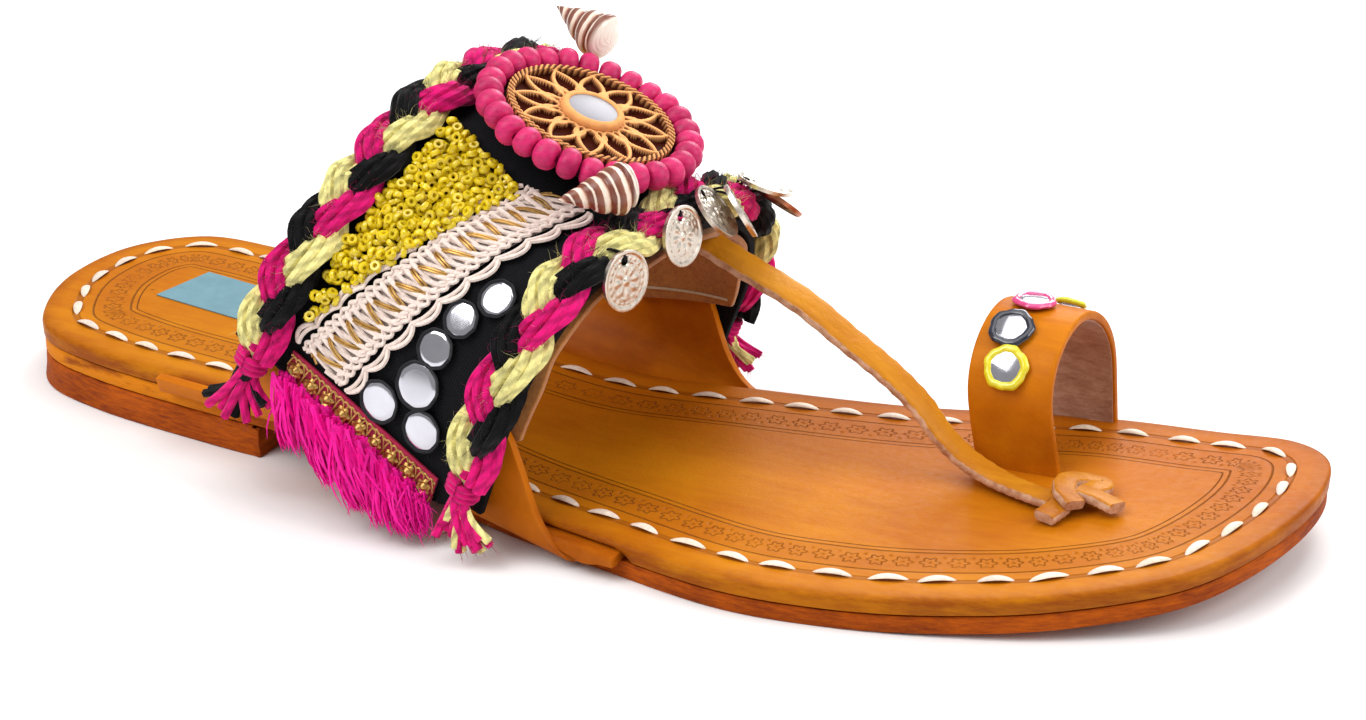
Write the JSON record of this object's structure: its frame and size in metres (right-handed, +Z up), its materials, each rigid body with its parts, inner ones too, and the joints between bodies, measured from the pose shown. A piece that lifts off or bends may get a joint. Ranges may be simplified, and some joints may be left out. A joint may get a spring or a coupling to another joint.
{
  "type": "kolhapuri sandal",
  "caption": "Flat leather kolhapuri sandal for the right foot: wide decorated instep band with braids, beads, mirrors and coins, and a toe loop tied by a thong.",
  "frame": {"origin": "On the floor under the middle of the heel.", "axes": "+X from heel to toe, +Y to the inner side of the foot, +Z up."},
  "size_m": [0.2666, 0.1054, 0.0818],
  "materials": {
    "tan_leather": "polished, grained",
    "brown_leather": "cut edge, matt",
    "suede": "napped",
    "black_cloth": "woven, matt",
    "wool_yarn": "fuzzy",
    "lace": "crocheted cotton",
    "seed_beads": "glossy",
    "gold_trim": "metallic thread",
    "fur": "long pile",
    "wood": "carved, waxed",
    "beads": "satin gloss",
    "shell": "natural shell, banded",
    "coin": "stamped, tarnished",
    "mirror": "silvered glass"
  },
  "bodies": {
    "root": {"band_lining": "suede", "band_mirror_inner_1": "mirror", "band_mirror_inner_2": "mirror", "band_mirror_inner_3": "mirror", "band_mirror_inner_4": "mirror", "band_mirror_inner_5": "mirror", "band_mirror_inner_6": "mirror", "band_mirror_outer_1": "mirror", "band_mirror_outer_2": "mirror", "band_mirror_outer_3": "mirror", "band_mirror_outer_4": "mirror", "band_mirror_outer_5": "mirror", "band_mirror_outer_6": "mirror", "bead_ring": "beads", "braid_back": "wool_yarn", "braid_front": "wool_yarn", "coin_1": "coin", "coin_2": "coin", "coin_3": "coin", "coin_4": "coin", "coin_5": "coin", "coin_6": "coin", "ear_inner": "tan_leather", "ear_outer": "tan_leather", "fur_inner": "fur", "fur_outer": "fur", "gota_inner": "gold_trim", "gota_outer": "gold_trim", "heel_lift": "brown_leather", "insole": "tan_leather", "instep_band": "black_cloth", "lace_inner": "lace", "lace_outer": "lace", "medallion": "wood", "medallion_mirror": "mirror", "outsole": "brown_leather", "seed_beads_inner": "seed_beads", "seed_beads_outer": "seed_beads", "shell_back": "shell", "shell_front": "shell", "tassel_back_inner": "wool_yarn", "tassel_back_outer": "wool_yarn", "tassel_front_inner": "wool_yarn", "tassel_front_outer": "wool_yarn", "thong_knot": "tan_leather", "toe_loop": "tan_leather", "toe_mirror_1": "mirror", "toe_mirror_2": "mirror", "toe_mirror_3": "mirror", "toe_mirror_4": "mirror", "toe_thong": "tan_leather"}
  },
  "joints": []
}
